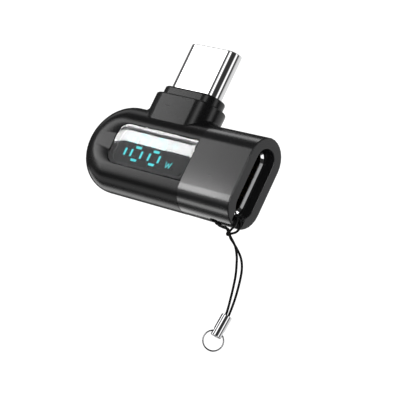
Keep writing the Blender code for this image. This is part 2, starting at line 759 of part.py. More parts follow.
def strap():
    """The wrist-strap: two-cord hitch round the bar, its knot, two hanging cords, crimp and ring."""
    near_leg = (
        (15.46, -0.30, -16.12),
        (15.74, -0.40, -15.72),
        (15.82, -0.38, -15.25),
        (15.80, -0.32, -14.80),
        (15.52, -0.30, -14.42),
    )
    far_leg = (
        (15.62, 0.42, -16.22),
        (15.84, 0.80, -15.82),
        (15.88, 0.96, -15.30),
        (15.82, 0.82, -14.84),
        (15.56, 0.48, -14.45),
    )
    for name, side, leg in (("near", -1, near_leg), ("far", 1, far_leg)):
        wire(f"hitch_cord_{name}", smooth_route(hitch_route(side, leg), 2.2 * CORD), CORD, CORD_BLACK)

    knot = bmesh.new()
    bmesh.ops.create_uvsphere(knot, u_segments=14, v_segments=9, radius=KNOT_RADIUS * MM)
    bmesh.ops.translate(knot, vec=KNOT * MM, verts=knot.verts)
    mesh = bpy.data.meshes.new("strap_knot")
    knot.to_mesh(mesh)
    knot.free()
    knot_obj = bpy.data.objects.new("strap_knot", mesh)
    bpy.context.scene.collection.objects.link(knot_obj)
    finish(knot_obj, "strap_knot", CORD_BLACK)

    inner = (
        strap_place(0.42, 0.34, 0.19),
        strap_place(0.95, 0.75, 0.19),
        strap_place(1.50, 1.28, 0.18),
        strap_place(2.08, 2.20, 0.10),
        strap_place(2.45, 3.05, 0.0),
        strap_place(2.93, 4.40, 0.0),
        strap_place(3.30, 5.95, 0.0),
        strap_place(3.58, 7.40, 0.0),
        strap_place(3.79, 8.60, 0.0),
        strap_place(3.87, 9.60, 0.0),
        strap_place(3.80, 10.60, 0.0),
    )
    outer = (
        strap_place(0.42, 0.34, -0.19),
        strap_place(1.02, 0.74, -0.19),
        strap_place(1.80, 1.30, -0.18),
        strap_place(2.60, 2.02, -0.10),
        strap_place(3.14, 2.86, 0.0),
        strap_place(3.52, 3.90, 0.0),
        strap_place(3.84, 5.40, 0.0),
        strap_place(4.08, 6.95, 0.0),
        strap_place(4.20, 8.40, 0.0),
        strap_place(4.23, 9.60, 0.0),
        strap_place(4.15, 10.60, 0.0),
    )
    for name, route in (("inner", inner), ("outer", outer)):
        wire(f"strap_cord_{name}", smooth_route(list(route), 2.2 * CORD), CORD, CORD_BLACK)

    top = strap_place(*CRIMP_TOP)
    bottom = strap_place(*CRIMP_BOTTOM)
    along = (bottom - top).normalized()
    across = along.cross(STRAP_NORMAL).normalized()
    crimp = rod("strap_crimp", top, bottom, CRIMP_RADIUS, CRIMP_CHROME, 28)
    bore = rod("crimp_bore", top - along, bottom + along, CRIMP_RADIUS - CRIMP_WALL, None, 24, True)
    hinge = bottom - along * RING_HOLE_UP
    hole = rod("ring_hole", hinge - across * 2, hinge + across * 2, RING_HOLE, None, 20, True)
    cut(crimp, bore, hole)
    centre = hinge + along * RING_RADIUS
    ring = []
    for step in range(RING_STEPS):
        angle = 2 * math.pi * step / RING_STEPS
        spoke = along * -math.cos(angle) + across * math.sin(angle)
        ring.append(centre + spoke * RING_RADIUS)
    wire("strap_ring", ring, RING_WIRE, CRIMP_CHROME, is_closed=True)


display_housing()
socket_sleeve()
collar()
plug()
socket()
boards()
display()
strap()
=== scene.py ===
"""Looks of a right-angle USB-C power meter and its wrist strap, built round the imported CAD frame.

Frame: +Z is the way the plug goes in, +X runs along the body to the socket end, and -Y is the
display side.  Sizes are in millimetres, and become metres where a mesh or a lamp is made.
"""

import math

import bmesh
import bpy
import numpy as np
from mathutils import Matrix, Vector


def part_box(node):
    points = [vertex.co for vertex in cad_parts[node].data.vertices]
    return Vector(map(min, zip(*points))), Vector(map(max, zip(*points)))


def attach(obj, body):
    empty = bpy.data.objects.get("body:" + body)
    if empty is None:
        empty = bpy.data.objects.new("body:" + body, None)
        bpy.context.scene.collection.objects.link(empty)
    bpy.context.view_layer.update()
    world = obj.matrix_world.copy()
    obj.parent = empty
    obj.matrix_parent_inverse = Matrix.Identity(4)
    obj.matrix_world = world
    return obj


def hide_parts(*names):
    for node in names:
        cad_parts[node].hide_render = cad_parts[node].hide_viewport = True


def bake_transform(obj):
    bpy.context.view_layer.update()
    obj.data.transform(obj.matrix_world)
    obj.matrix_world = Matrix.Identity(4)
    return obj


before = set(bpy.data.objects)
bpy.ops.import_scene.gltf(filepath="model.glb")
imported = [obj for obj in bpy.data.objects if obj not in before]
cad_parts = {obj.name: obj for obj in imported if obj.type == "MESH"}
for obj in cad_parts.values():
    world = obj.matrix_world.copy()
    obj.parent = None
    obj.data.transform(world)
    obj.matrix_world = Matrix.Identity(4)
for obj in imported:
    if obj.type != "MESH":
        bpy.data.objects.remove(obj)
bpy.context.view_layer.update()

# Camera: a long lens at the front corner of the socket end, a little below the meter, rolled so
# that the plug leans to the right and the strap hangs straight down the view.
MM = 0.001
EYE_TURN = math.radians(42.51)
EYE_TILT = math.radians(-11.01)
EYE_ROLL = math.radians(25.16)
EYE_DISTANCE = 231.4
EYE_AIM = (-0.54, 13.53)
EYE_LENS = 160.3

back = Vector(
    (
        math.sin(EYE_TURN) * math.cos(EYE_TILT),
        -math.cos(EYE_TURN) * math.cos(EYE_TILT),
        math.sin(EYE_TILT),
    )
)
level = Vector((math.cos(EYE_TURN), math.sin(EYE_TURN), 0.0))
upright = back.cross(level)
across = level * math.cos(EYE_ROLL) + upright * math.sin(EYE_ROLL)
upward = upright * math.cos(EYE_ROLL) - level * math.sin(EYE_ROLL)
eye = back * EYE_DISTANCE - across * EYE_AIM[0] - upward * EYE_AIM[1]
camera = bpy.data.objects.new("camera", bpy.data.cameras.new("camera"))
camera.data.lens = EYE_LENS
camera.matrix_world = Matrix.Translation(eye * MM) @ Matrix((across, upward, back)).transposed().to_4x4()
bpy.context.scene.collection.objects.link(camera)
bpy.context.scene.camera = camera


# Strap cord: one thin braided cord.  Both ends are gripped in the crimp; it rises to the knot,
# passes in at the slot, over the bar, out of the recess in the end face and back, twice.
CORD = 0.30
CORD_SIDES = 12
EASED = 35
BRAID_TURNS = 4
BRAID_PITCH = 0.42
LANE = 0.30
TUNNEL_Z = -14.35
HITCH_TURN = math.radians(42.5)
KNOT = np.array((15.13, 0.0, -16.50))
STRAP_SIDE = np.array((math.cos(HITCH_TURN), math.sin(HITCH_TURN), 0.0))
STRAP_FACE = np.array((math.sin(HITCH_TURN), -math.cos(HITCH_TURN), 0.0))
DOWN = np.array((0.0, 0.0, -1.0))
NEAR_LEG = (
    (15.46, -0.30, -16.12), (15.74, -0.40, -15.72), (15.82, -0.38, -15.25), (15.80, -0.32, -14.80),
    (15.52, -0.30, -14.42),
)
FAR_LEG = (
    (15.62, 0.25, -16.22), (15.84, 0.48, -15.82), (15.88, 0.58, -15.30), (15.82, 0.49, -14.84),
    (15.56, 0.32, -14.45),
)
INNER_STRAND = (
    (0.42, 0.34, 0.28), (0.95, 0.75, 0.28), (1.50, 1.28, 0.27), (2.08, 2.20, 0.27),
    (2.45, 3.05, 0.27), (2.93, 4.40, 0.26), (3.30, 5.95, 0.26), (3.58, 7.40, 0.26),
    (3.79, 8.60, 0.25), (3.87, 9.60, 0.25), (3.80, 10.60, 0.25),
)
OUTER_STRAND = (
    (0.42, 0.34, -0.28), (1.02, 0.74, -0.28), (1.80, 1.30, -0.27), (2.60, 2.02, -0.27),
    (3.14, 2.86, -0.27), (3.52, 3.90, -0.26), (3.84, 5.40, -0.26), (4.08, 6.95, -0.26),
    (4.20, 8.40, -0.25), (4.23, 9.60, -0.25), (4.15, 10.60, -0.25),
)


def strap_place(places):
    """Points of the strap's plane: so far sideways, so far down and so far forward of the knot."""
    return KNOT + np.array(places) @ np.stack([STRAP_SIDE, DOWN, STRAP_FACE])


def hitch_lane(lane):
    """The lane of one cord through the tunnel over the bar and out of the slot, back to the knot."""
    return np.array(
        (
            (15.00, lane, TUNNEL_Z),
            (13.60, lane, TUNNEL_Z),
            (12.85, lane, TUNNEL_Z - 0.06),
            (12.50, lane, TUNNEL_Z - 0.40),
            (12.50, lane, TUNNEL_Z - 0.95),
            (12.80, lane, TUNNEL_Z - 1.38),
            (13.40, lane * 0.85, TUNNEL_Z - 1.50),
            (14.10, lane * 0.75, TUNNEL_Z - 1.56),
            (14.60, lane * 0.70, TUNNEL_Z - 1.60),
        )
    )


def smooth_line(points, spacing):
    """Points evenly spaced along a smooth curve through the given points.

    Between two points it is the cubic whose slope at each end is half the line from that end's
    neighbour before to its neighbour after.
    """
    points = np.array(points, float)
    p = np.vstack([2 * points[0] - points[1], points, 2 * points[-1] - points[-2]])
    t = np.linspace(0, 1, 24, endpoint=False)[None, :, None]
    a, b, c, d = (p[i : len(p) - 3 + i, None] for i in range(4))
    square, cube = 2 * a - 5 * b + 4 * c - d, 3 * b - a - 3 * c + d
    fine = (2 * b + (c - a) * t + square * t**2 + cube * t**3) / 2
    fine = np.vstack([fine.reshape(-1, 3), points[-1:]])
    gone = np.concatenate([[0.0], np.cumsum(np.linalg.norm(np.diff(fine, axis=0), axis=1))])
    at = np.linspace(0, gone[-1], round(gone[-1] / spacing) + 1)
    return np.stack([np.interp(at, gone, fine[:, i]) for i in range(3)], 1)


def grid_cells(rows, columns, rows_join=False, columns_join=False):
    """The four corners of each cell of a grid of points, as (row, column) counts.

    Where the last row or column joins the first, its count runs on past the end, so that a
    pattern laid along the count doesn't turn back.
    """
    row = np.arange(rows if rows_join else rows - 1)[:, None]
    column = np.arange(columns if columns_join else columns - 1)[None, :]
    corners = [(row, column), (row, column + 1), (row + 1, column + 1), (row + 1, column)]
    full = [[np.broadcast_to(i, (row.size, column.size)) for i in corner] for corner in corners]
    return np.stack(full, -1).reshape(2, -1, 4)


def grid_faces(grid, rows_join=True, columns_join=True):
    """The faces of a grid of points whose last row and last column may join the first."""
    count = grid.shape[1]
    rows, columns = grid_cells(*grid.shape[:2], rows_join, columns_join)
    return (rows % len(grid)) * count + columns % count


def ease(mesh, angle):
    """Shade a mesh smooth, but for the edges that turn by more than an angle."""
    mesh.shade_smooth()
    mesh.set_sharp_from_angle(angle=math.radians(angle))


def make_piece(name, points, faces, around=None, eased=EASED, caps=()):
    """A mesh object at the origin from points in millimetres and faces, all turned outwards.

    The faces' order is turned round if the volume that they enclose comes out negative: a sixth
    of the sum of each triangle's three corners' triple product.  Points that lie on each other
    are joined.  around gives each face corner its place in the piece's own UV map.
    """
    faces = [list(face) for face in faces] + [list(cap) for cap in caps]
    mesh = bpy.data.meshes.new(name)
    mesh.from_pydata((points * MM).tolist(), [], faces)
    if around is not None:
        layer = mesh.uv_layers.new(name="Surface")
        layer.data.foreach_set("uv", np.ravel(around))
    join_and_turn(mesh)
    piece = bpy.data.objects.new(name, mesh)
    bpy.context.scene.collection.objects.link(piece)
    if eased:
        ease(mesh, eased)
        even = piece.modifiers.new("even_flats", "WEIGHTED_NORMAL")
        even.keep_sharp = True
        even.weight = 50
    return piece


def join_and_turn(mesh):
    """Join points that lie on each other, and turn the faces outwards if they face inwards."""
    work = bmesh.new()
    work.from_mesh(mesh)
    bmesh.ops.remove_doubles(work, verts=work.verts, dist=2e-7)
    bmesh.ops.dissolve_degenerate(work, edges=work.edges, dist=1e-7)
    if work.calc_volume(signed=True) < 0:
        bmesh.ops.reverse_faces(work, faces=work.faces)
    work.to_mesh(mesh)
    work.free()


def tube(name, line, radius, sides, across, is_closed=False):
    """A round tube along a line: at each point a circle in the plane across the line.

    The circle starts from the direction at right angles to both the line and `across`, so it
    never twists as long as the line never runs along `across`.  An open tube ends in a dome.
    """
    line = np.array(line)
    if is_closed:
        along = np.roll(line, -1, 0) - np.roll(line, 1, 0)
        size = np.full(len(line), radius)
    else:
        along = np.gradient(line, axis=0)
        dome = np.sqrt(1 - np.linspace(1, 0, 5) ** 2)
        size = np.full(len(line) + 8, radius)
        size[:5], size[-5:] = radius * dome, radius * dome[::-1]
        inward = radius * (1 - np.linspace(0, 1, 5)[:-1, None])
        unit = along / np.linalg.norm(along, axis=1, keepdims=True)
        line = np.vstack([line[0] - unit[0] * inward, line, line[-1] + unit[-1] * inward[::-1]])
        along = np.vstack([np.repeat(along[:1], 4, 0), along, np.repeat(along[-1:], 4, 0)])
    along = along / np.linalg.norm(along, axis=1, keepdims=True)
    first = np.cross(along, across)
    first /= np.linalg.norm(first, axis=1, keepdims=True)
    second = np.cross(along, first)
    angle = np.linspace(0, 2 * math.pi, sides, endpoint=False)[None, :, None]
    ring = first[:, None] * np.cos(angle) + second[:, None] * np.sin(angle)
    points = (line[:, None] + ring * size[:, None, None]).reshape(-1, 3)
    rows, columns = grid_cells(len(line), sides, is_closed, True)
    faces = (rows % len(line)) * sides + columns % sides
    gone = np.concatenate([[0.0], np.cumsum(np.linalg.norm(np.diff(line, axis=0), axis=1))])
    gone = np.append(gone, gone[-1] + np.linalg.norm(line[0] - line[-1]))
    return make_piece(name, points, faces, np.stack([columns / sides, gone[rows]], -1), eased=60), line


class Signal:
    """A node's output; an expression on it adds the Math nodes that work it out."""

    def __init__(self, finish, socket):
        self.finish = finish
        self.socket = socket

    def maths(self, operation, *values):
        return self.finish.node("ShaderNodeMath", {"operation": operation}, dict(enumerate(values)))

    def __add__(self, other):
        return self.maths("ADD", self, other)

    def __sub__(self, other):
        return self.maths("SUBTRACT", self, other)

    def __rsub__(self, other):
        return self.maths("SUBTRACT", other, self)

    def __mul__(self, other):
        return self.maths("MULTIPLY", self, other)

    def __truediv__(self, other):
        return self.maths("DIVIDE", self, other)

    def __neg__(self):
        return self.maths("MULTIPLY", self, -1.0)

    __radd__ = __add__
    __rmul__ = __mul__

    def sine(self):
        return self.maths("SINE", self)

    def greater(self, other):
        return self.maths("MAXIMUM", self, other)

    def step(self, low, high):
        """0 below low and 1 above high, with a smooth rise between them; low may be the greater."""
        return self.finish.node(
            "ShaderNodeMapRange",
            {"interpolation_type": "SMOOTHSTEP"},
            {0: self, 1: low, 2: high, 3: 0.0, 4: 1.0},
        )


class Finish:
    """A material, or a lamp's or the world's light, put together from nodes round its shader."""

    def __init__(self, name, plain, owner=None, shader="Principled BSDF"):
        self.material = owner or bpy.data.materials.new(name)
        self.material.use_nodes = True
        self.tree = self.material.node_tree
        self.shader = self.tree.nodes[shader]
        self.feed(self.shader, plain)

    def feed(self, target, sockets):
        """Set a node's sockets, by name or number, to values, or link them to signals."""
        for key, value in sockets.items():
            if isinstance(value, Signal):
                self.tree.links.new(value.socket, target.inputs[key])
            else:
                target.inputs[key].default_value = value

    def node(self, kind, settings, sockets, output=0):
        """A node of a type with its settings made first, and then its sockets fed."""
        made = self.tree.nodes.new(kind)
        for key, value in settings.items():
            if key == "stops":
                ramp = made.color_ramp.elements
                while len(ramp) < len(value):
                    ramp.new(0.5)
                for stop, (place, grey) in zip(ramp, value):
                    stop.position = place
                    stop.color = (grey, grey, grey, 1.0)
            else:
                setattr(made, key, value)
        self.feed(made, sockets)
        return Signal(self, made.outputs[output])

    def place(self):
        """Object coordinates."""
        return self.node("ShaderNodeTexCoord", {}, {}, 3)

    def parts(self, vector):
        """The three numbers of a vector."""
        split = self.node("ShaderNodeSeparateXYZ", {}, {0: vector}).socket.node
        return [Signal(self, output) for output in split.outputs]

    def surface(self):
        """(around, along) of the piece's own UV map."""
        return self.parts(self.node("ShaderNodeUVMap", {"uv_map": "Surface"}, {}))[:2]

    def stretched(self, x, y, z):
        """Object coordinates stretched along some axes: 1 leaves them, less draws a pattern out."""
        return self.node("ShaderNodeMapping", {}, {0: self.place(), 3: (x, y, z)})

    def noise(self, grain, where=None, detail=3.0):
        """Cloudy noise from 0 to 1 whose lumps are about `grain` millimetres across."""
        sockets = {"Vector": where or self.place(), "Scale": 1 / (grain * MM), "Detail": detail}
        return self.node("ShaderNodeTexNoise", {}, sockets)

    def tint(self, share, first, second):
        """A colour between two, by share."""
        return self.node(
            "ShaderNodeMix", {"data_type": "RGBA"}, {0: share, 6: (*first, 1.0), 7: (*second, 1.0)}, 2
        )

    def covered(self, colour, roughness, height, depth):
        """The finished material: its colour and roughness fed in, and its relief."""
        self.feed(self.shader, {"Base Color": colour, "Roughness": roughness})
        self.relief(height, depth)
        return self.material

    def relief(self, height, depth):
        """The surface's normal, tipped by a height from 0 to 1 that stands for a depth in mm."""
        sockets = {"Height": height, "Strength": 1.0, "Distance": depth * MM}
        self.feed(self.shader, {"Normal": self.node("ShaderNodeBump", {}, sockets)})


def braided_cord():
    """Fine black braid: two sets of strands wound opposite ways, one over the other."""
    cord = Finish("braided_cord", {"Roughness": 0.75, "Sheen Weight": 0.15, "Specular IOR Level": 0.3})
    around, along = cord.surface()
    turn = 2 * math.pi
    wound = around * (turn * BRAID_TURNS)
    gone = along * (turn / BRAID_PITCH)
    strands = (wound + gone).sine().greater((wound - gone).sine()) * 0.5 + 0.5
    fibre = cord.noise(0.05)
    colour = cord.tint(strands * 0.7 + fibre * 0.3, (0.003, 0.003, 0.003), (0.009, 0.009, 0.010))
    return cord.covered(colour, strands * -0.15 + 0.85, strands + fibre * 0.3, 0.008)


inner_strand = strap_place(INNER_STRAND)
outer_strand = strap_place(OUTER_STRAND)
near_lane = hitch_lane(-LANE)
far_lane = hitch_lane(LANE)
strap_route = np.vstack(
    [inner_strand[::-1], near_lane[::-1], NEAR_LEG[::-1], KNOT, FAR_LEG, far_lane, outer_strand]
)
strap_line = smooth_line(strap_route, 0.09)
strap_cord, cord_centres = tube("strap_cord", strap_line, CORD / 2, CORD_SIDES, STRAP_FACE)
strap_cord.data.materials.append(braided_cord())
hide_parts("hitch_cord_near", "hitch_cord_far", "strap_cord_inner", "strap_cord_outer")


# Knot: the same cord pulled tight into an overhand knot, three lobes round a small core.
KNOT_REACH = 0.36
KNOT_SIDES = 10


def knot_line(count):
    """An overhand knot: a circle that is gone round twice while its radius and height wave thrice."""
    t = np.linspace(0, 2 * math.pi, count, endpoint=False)
    lobe = 2 + np.cos(3 * t)
    flat = np.stack([lobe * np.cos(2 * t), np.sin(3 * t) * 1.3, lobe * np.sin(2 * t)], 1)
    return flat / 3 * (KNOT_REACH - CORD * 0.42)


knot_axes = np.stack([STRAP_SIDE, STRAP_FACE, DOWN])
strap_knot, _ = tube(
    "knot", KNOT + knot_line(120) @ knot_axes, CORD * 0.42, KNOT_SIDES, STRAP_FACE, is_closed=True
)
strap_knot.data.materials.append(strap_cord.data.materials[0])
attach(strap_knot, "strap_hitch")
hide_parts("strap_knot")


# Crimp: a short drawn tube, bright plated, pressed flat-sided on the two cord ends.  Two holes
# drilled across its lower end carry the ring.
CRIMP_TOP = (4.05, 9.31, 0.0)
CRIMP_FOOT = (3.83, 12.17, 0.0)
CRIMP_RADIUS = 0.70
CRIMP_WALL = 0.15
CRIMP_EASE = 0.07
BORE_EASE = 0.04
HOLE_UP = 0.68
HOLE_RADIUS = 0.30
DRILL_HALF = 2
RING_RADIUS = 1.26
RING_WIRE = 0.20


def eased_run(corners, steps=4):
    """A closed run of straight sides whose corners are eased.

    A corner (along, out, ease) becomes the parabola that leaves one side and joins the next at
    `ease` from the corner.
    """
    corners = np.array(corners, float)
    place, ease = corners[:, :2], corners[:, 2:]
    before, after = np.roll(place, 1, 0) - place, np.roll(place, -1, 0) - place
    start = (place + before / np.linalg.norm(before, axis=1, keepdims=True) * ease)[:, None]
    end = (place + after / np.linalg.norm(after, axis=1, keepdims=True) * ease)[:, None]
    t = np.linspace(0, 1, steps + 1)[None, :, None]
    return ((1 - t) ** 2 * start + 2 * t * (1 - t) * place[:, None] + t**2 * end).reshape(-1, 2)


def turned_tube(name, foot, axis, side, run, sides=48):
    """A closed run (along, out) carried round an axis: each point goes round in a circle."""
    third = np.cross(axis, side)
    angle = np.linspace(0, 2 * math.pi, sides, endpoint=False)[:, None, None]
    spoke = np.cos(angle) * side + np.sin(angle) * third
    points = foot + axis * run[None, :, :1] + spoke * run[None, :, 1:]
    return make_piece(name, points.reshape(-1, 3), grid_faces(points))


def cut_away(piece, *cutters):
    """Take the cutters out of a piece for good, one after the other."""
    even = piece.modifiers["even_flats"]
    even.show_viewport = False
    cuts = []
    for cutter in cutters:
        cut = piece.modifiers.new("cut", "BOOLEAN")
        cut.operation = "DIFFERENCE"
        cut.solver = "EXACT"
        cut.object = cutter
        cuts.append(cut)
    bpy.context.view_layer.update()
    graph = bpy.context.evaluated_depsgraph_get()
    mesh = bpy.data.meshes.new_from_object(piece.evaluated_get(graph))
    join_and_turn(mesh)
    ease(mesh, EASED)
    mesh.name = piece.name
    piece.data = mesh
    for cut, cutter in zip(cuts, cutters):
        piece.modifiers.remove(cut)
        bpy.data.objects.remove(cutter, do_unlink=True)
    even.show_viewport = True


def plated(name, colour, roughness, drawn):
    """Bright nickel over drawn steel: fine lines along the drawing, and a few darker specks."""
    metal = Finish(name, {"Metallic": 1.0})
    lines = metal.noise(0.06, metal.stretched(*drawn))
    cloud = metal.noise(1.1)
    speck = metal.noise(0.25, detail=5.0).step(0.70, 0.78)
    worn = tuple(0.86 * part for part in colour)
    rough = lines * 0.04 + cloud * 0.03 + speck * 0.12 + (roughness - 0.035)
    return metal.covered(metal.tint(cloud * 0.5 + speck * 0.4, colour, worn), rough, lines, 0.0006)


crimp_top = strap_place([CRIMP_TOP])[0]
crimp_foot = strap_place([CRIMP_FOOT])[0]
crimp_length = np.linalg.norm(crimp_foot - crimp_top)
crimp_along = (crimp_foot - crimp_top) / crimp_length
crimp_across = np.cross(crimp_along, STRAP_FACE)
crimp_across /= np.linalg.norm(crimp_across)
bore = CRIMP_RADIUS - CRIMP_WALL
crimp_run = eased_run(
    [
        (0, bore, BORE_EASE),
        (0, CRIMP_RADIUS, CRIMP_EASE),
        (crimp_length, CRIMP_RADIUS, CRIMP_EASE),
        (crimp_length, bore, BORE_EASE),
    ]
)
crimp = turned_tube("crimp", crimp_top, crimp_along, crimp_across, crimp_run)
hinge = crimp_foot - crimp_along * HOLE_UP
drill_run = [(end, out) for end, out in zip((-1, -1, 1, 1), (0, HOLE_RADIUS, HOLE_RADIUS, 0))]
drill_run = np.array(drill_run) * (DRILL_HALF, 1)
drill = turned_tube("drill", hinge, crimp_across, crimp_along, drill_run, 28)
cut_away(crimp, drill)
crimp.data.materials.append(plated("crimp_plate", (0.86, 0.86, 0.87), 0.05, (1, 1, 0.1)))
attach(crimp, "strap")
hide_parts("strap_crimp")

# Ring: one turn of thin plated spring wire, threaded through the crimp's two holes.
ring_middle = hinge + crimp_along * RING_RADIUS
ring_angle = np.linspace(0, 2 * math.pi, 96, endpoint=False)[:, None]
ring_line = ring_middle + (
    crimp_across * np.sin(ring_angle) - crimp_along * np.cos(ring_angle)
) * RING_RADIUS
ring, _ = tube("ring", ring_line, RING_WIRE / 2, 12, STRAP_FACE, is_closed=True)
ring.data.materials.append(plated("ring_plate", (0.62, 0.62, 0.63), 0.2, (1, 1, 1)))
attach(ring, "ring")
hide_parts("strap_ring")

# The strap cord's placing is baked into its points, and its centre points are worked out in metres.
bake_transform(strap_cord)
[tuple(point * MM) for point in cord_centres]


# Housing: the left shell of the bar, with full-round long edges, a half-disc end and the display
# window, and the neck that carries the plug moulded on its top.  Black plastic, spark-eroded satin.
BODY_LEFT = -13.0
BODY_RIGHT = 15.6
BODY_Z = -9.53
EDGE = 3.0
FLAT = 3.0
BROW = 0.03
WALL = 0.9
SEAM = 6.80
SEAM_GAP = 0.02
WINDOW_LEFT = -7.1
WINDOW_HALF = 2.88
WINDOW_RADIUS = 1.6
WINDOW_EASE = 0.06
LEDGE = 0.45
LEDGE_Y = -EDGE + 0.62
BEND_X = BODY_LEFT + EDGE + FLAT
COLLAR_MIDDLE = -0.03
NECK_MIDDLE = -0.08
NECK_FLAT = 2.79
NECK_RADIUS = 2.70
NECK_TOP = -1.25
NECK_EASE = 0.24
NECK_FOOT_EASE = 0.60
THROAT_FLAT = 2.82
THROAT_RADIUS = 2.06
THROAT_FOOT = -2.65
THROAT_EASE = 0.06
RUN_STEPS = 14
BEND_STEPS = 48


def rim_walk():
    """How far along the bar's U each row lies: to 1 on the top run, to 2 round the end, to 3 back."""
    run = np.linspace(0, 1, RUN_STEPS + 1)
    return np.concatenate([run, np.linspace(1, 2, BEND_STEPS + 1)[1:], run[1:] + 2])


def window_rim(inset, right):
    """The window's rim as (x, z), drawn in by an inset.

    The top run goes left to the corner; round the end a quarter circle, a straight and another
    quarter circle follow; the bottom run comes back.
    """
    walk = rim_walk()
    radius = WINDOW_RADIUS - inset
    half = WINDOW_HALF - inset
    corner_x = WINDOW_LEFT + WINDOW_RADIUS
    turn = (np.clip((walk - 1) / 0.4, 0, 1) + np.clip((walk - 1.6) / 0.4, 0, 1)) * math.pi / 2
    middle = (half - radius) * (1 - 2 * np.clip((walk - 1.4) / 0.2, 0, 1))
    run = np.clip(1 - walk, 0, 1) + np.clip(walk - 2, 0, 1)
    x = corner_x - radius * np.sin(turn) + (right - corner_x) * run
    return np.stack([x, BODY_Z + middle + radius * np.cos(turn)], 1)


def bar_ring(reach, right):
    """The bar's outline as (x, z) at a reach from its middle line: two runs and a half circle."""
    walk = rim_walk()
    turn = np.clip(walk - 1, 0, 1) * math.pi
    run = np.clip(1 - walk, 0, 1) + np.clip(walk - 2, 0, 1)
    x = BEND_X - reach * np.sin(turn) + (right - BEND_X) * run
    return np.stack([x, BODY_Z + reach * np.cos(turn)], 1)


def housing_bar():
    """The shell's skin: at each place along the U, a section from the back's middle line over the
    round edge, across the front to the window, down its recess, and back along the inside."""
    right = SEAM - SEAM_GAP / 2
    sections = [(bar_ring(0, right), EDGE)]
    for turn in np.linspace(math.pi / 2, -math.pi / 2, 27):
        sections.append((bar_ring(FLAT + (EDGE + BROW) * math.cos(turn), right), EDGE * math.sin(turn)))
    for turn in np.linspace(0, math.pi / 2, 4):
        inset = -WINDOW_EASE * (1 - math.sin(turn))
        sections.append((window_rim(inset, right), -EDGE + WINDOW_EASE * (1 - math.cos(turn))))
    sections.append((window_rim(0, right), LEDGE_Y))
    sections.append((window_rim(LEDGE, right), LEDGE_Y))
    sections.append((window_rim(LEDGE, right), -EDGE + WALL))
    inner = EDGE - WALL
    for turn in np.linspace(-math.pi / 2, math.pi / 2, 17):
        sections.append((bar_ring(FLAT + inner * math.cos(turn), right), inner * math.sin(turn)))
    sections.append((bar_ring(0, right), inner))
    grid = np.stack([np.insert(ring, 1, y, axis=1) for ring, y in sections], 1)
    count = grid.shape[1]
    last = (len(grid) - 1) * count
    end = [*range(count - 1, -1, -1), *range(last + 1, last + count - 1)]
    return grid.reshape(-1, 3), grid_faces(grid, False, False), [end]


def stadium(flat, radius, steps=14):
    """(long, short, outward long, outward short) round a stadium whose half circles' middles are
    `flat` either side of its own; flat and radius may be arrays, one value a column."""
    turn = np.concatenate([np.linspace(-90, 90, steps + 1), np.linspace(90, 270, steps + 1)])
    side = np.repeat([1.0, -1.0], steps + 1)[:, None]
    out_long = np.cos(np.radians(turn))[:, None]
    out_short = np.sin(np.radians(turn))[:, None]
    flat, radius = np.atleast_1d(flat), np.atleast_1d(radius)
    return side * flat + radius * out_long, radius * out_short, out_long, out_short


def neck_skin():
    """The neck as a closed ring: throat wall, top face, outer wall, and a fillet onto the bar.

    The fillet is the path of a ball rolled round the neck's foot: its middle keeps one ball's
    radius from the wall, and that plus the bar's edge radius from the middle of the bar's top
    round.  The skin then dips just under the bar's surface.
    """
    x, y, out_x, out_y = stadium(NECK_FLAT, NECK_RADIUS)
    throat_x, throat_y, _, _ = stadium(THROAT_FLAT, THROAT_RADIUS)
    x, throat_x = x + NECK_MIDDLE, throat_x + COLLAR_MIDDLE
    ball_x, ball_y = x + NECK_FOOT_EASE * out_x, y + NECK_FOOT_EASE * out_y
    away = EDGE + NECK_FOOT_EASE
    round_z = BODY_Z + FLAT
    ball_z = round_z + np.sqrt(away**2 - ball_y**2)
    ball = np.stack([ball_x, ball_y, ball_z], -1)
    start = np.stack([-out_x, -out_y, 0 * out_x], -1)
    end = np.stack([0 * ball_x, -ball_y, round_z - ball_z], -1) / away
    angle = np.arccos(np.clip((start * end).sum(-1, keepdims=True), -1, 1))
    t = np.linspace(0, 1, 9)[None, :, None]
    arc = (np.sin((1 - t) * angle) * start + np.sin(t * angle) * end) / np.sin(angle)
    fillet = ball + NECK_FOOT_EASE * arc
    dip = fillet[:, -1:] + end * 0.04 - start * 0.02
    turn = np.linspace(0, math.pi / 2, 6)[None, :]
    brow_out = NECK_RADIUS - NECK_EASE * (1 - np.sin(turn))
    brow = np.stack(
        [
            x - out_x * (NECK_RADIUS - brow_out),
            y - out_y * (NECK_RADIUS - brow_out),
            NECK_TOP - NECK_EASE * (1 - np.cos(turn)) + 0 * x,
        ],
        -1,
    )
    levels = [(THROAT_FOOT, 0.0), (NECK_TOP - THROAT_EASE, 0.0), (NECK_TOP, THROAT_EASE)]
    throat = np.stack(
        [
            np.stack([throat_x + out_x * ease, throat_y + out_y * ease, 0 * throat_x + z], -1)[:, 0]
            for z, ease in levels
        ],
        1,
    )
    grid = np.concatenate([throat, brow, fillet, dip], 1)
    return grid.reshape(-1, 3), grid_faces(grid)


def moulded(name, dark, light, roughness, grain, depth, gloss=0.5):
    """Moulded black plastic: spark-eroded grain, faint flow clouding, and a few hair scratches."""
    plastic = Finish(name, {"Specular IOR Level": gloss})
    pits = plastic.noise(grain, detail=2.0)
    cloud = plastic.noise(2.6)
    hairs = plastic.noise(0.5, plastic.stretched(0.25, 1.0, 2.2), 4.0).step(0.705, 0.73)
    colour = plastic.tint(cloud * 0.6 + pits * 0.3 + hairs * 0.4, dark, light)
    rough = cloud * 0.05 + pits * 0.05 + hairs * 0.08 + (roughness - 0.05)
    return plastic.covered(colour, rough, pits, depth)


